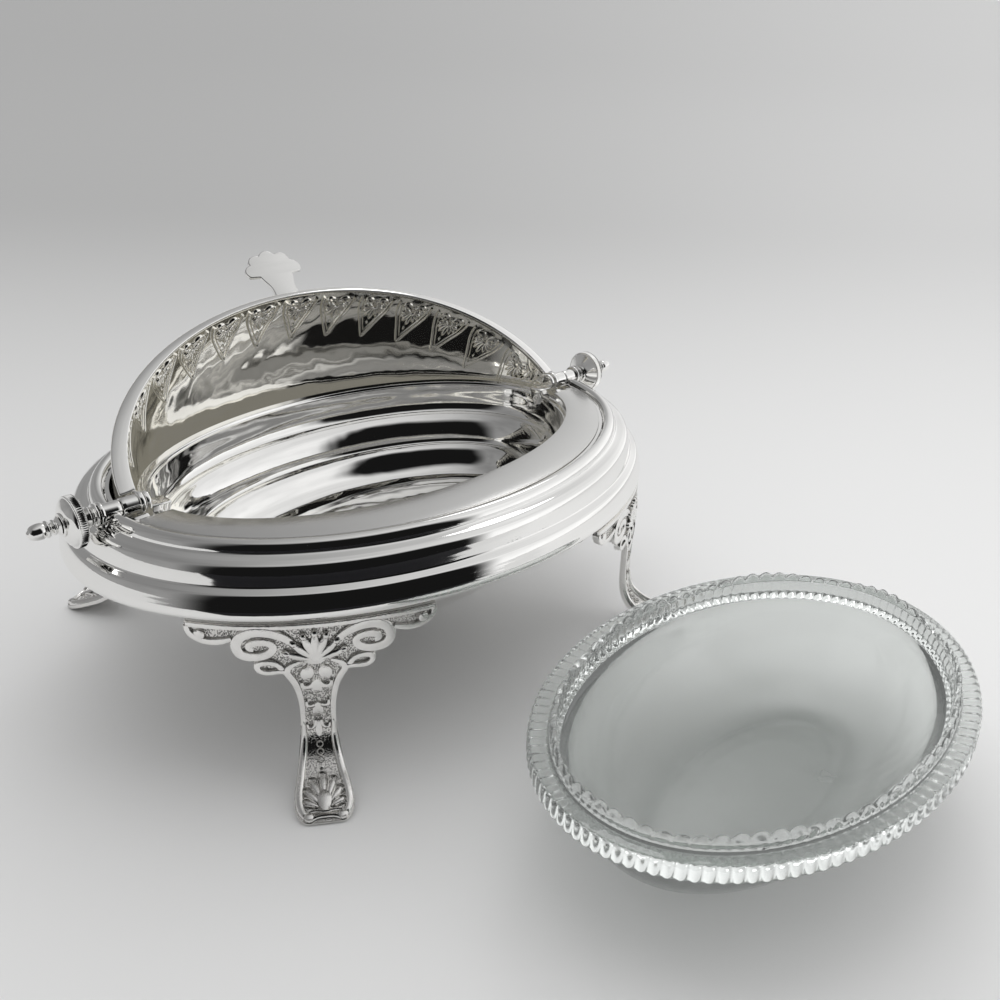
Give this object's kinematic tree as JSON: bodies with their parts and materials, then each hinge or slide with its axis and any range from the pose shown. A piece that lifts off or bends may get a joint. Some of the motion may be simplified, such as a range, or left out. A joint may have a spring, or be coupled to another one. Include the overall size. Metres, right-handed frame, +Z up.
{
  "type": "revolving butter dish",
  "caption": "Oval silver-plated butter dish on cast legs, with a domed lid that revolves about side pivots and a lift-out pressed glass liner.",
  "frame": {"origin": "middle of the bounding box in plan, on the table", "axes": "+X along the pivot line to the right end, +Y to the back away from the liner, +Z up"},
  "size_m": [0.2362, 0.284, 0.1226],
  "materials": {
    "body_silver": "mirror-polished silver plate",
    "moulding_silver": "mirror-polished silver plate",
    "lid_silver": "polished silver plate, slightly warm inside",
    "pivot_silver": "polished turned metal, silver plated",
    "cast_silver": "cast and silver plated, stippled and darker in the recesses",
    "liner_glass": "clear pressed glass with a grey-green tint"
  },
  "bodies": {
    "dish": {"body_bowl": "body_silver", "rim_moulding": "moulding_silver", "front_ledge": "body_silver", "inner_bowl": "body_silver", "inner_bowl_lug_right": "pivot_silver", "inner_bowl_lug_left": "pivot_silver", "pivot_bearing_right": "pivot_silver", "pivot_bearing_left": "pivot_silver", "pivot_collar_right": "pivot_silver", "pivot_collar_left": "pivot_silver", "leg_front_left": "cast_silver", "leg_front_right": "cast_silver", "leg_back_left": "cast_silver", "leg_back_right": "cast_silver"},
    "lid": {"lid_dome": "lid_silver", "lid_rim_front": "lid_silver", "lid_rim_back": "lid_silver", "lid_barrel_right": "pivot_silver", "lid_barrel_left": "pivot_silver", "lid_thumbpiece": "cast_silver"},
    "knob_left": {"knob_disc_left": "pivot_silver", "knob_finial_left": "pivot_silver", "pivot_pin_left": "pivot_silver"},
    "knob_right": {"knob_disc_right": "pivot_silver", "knob_finial_right": "pivot_silver", "pivot_pin_right": "pivot_silver"},
    "liner": {"glass_liner": "liner_glass"}
  },
  "joints": [
    {"name": "lid_turn", "type": "hinge", "parent": "dish", "child": "lid", "pos_m": [0, 0.06008, 0.071], "axis": [1, 0, 0], "range_deg": [-18, 141.2]},
    {"name": "knob_left_turn", "type": "hinge", "parent": "dish", "child": "knob_left", "pos_m": [-0.104, 0.06008, 0.071], "axis": [1, 0, 0], "continuous": true},
    {"name": "knob_right_turn", "type": "hinge", "parent": "dish", "child": "knob_right", "pos_m": [0.104, 0.06008, 0.071], "axis": [1, 0, 0], "continuous": true},
    {"name": "liner_lift", "type": "slide", "parent": "dish", "child": "liner", "axis": [0, 0, 1], "range_m": [0, 0.15]}
  ]
}
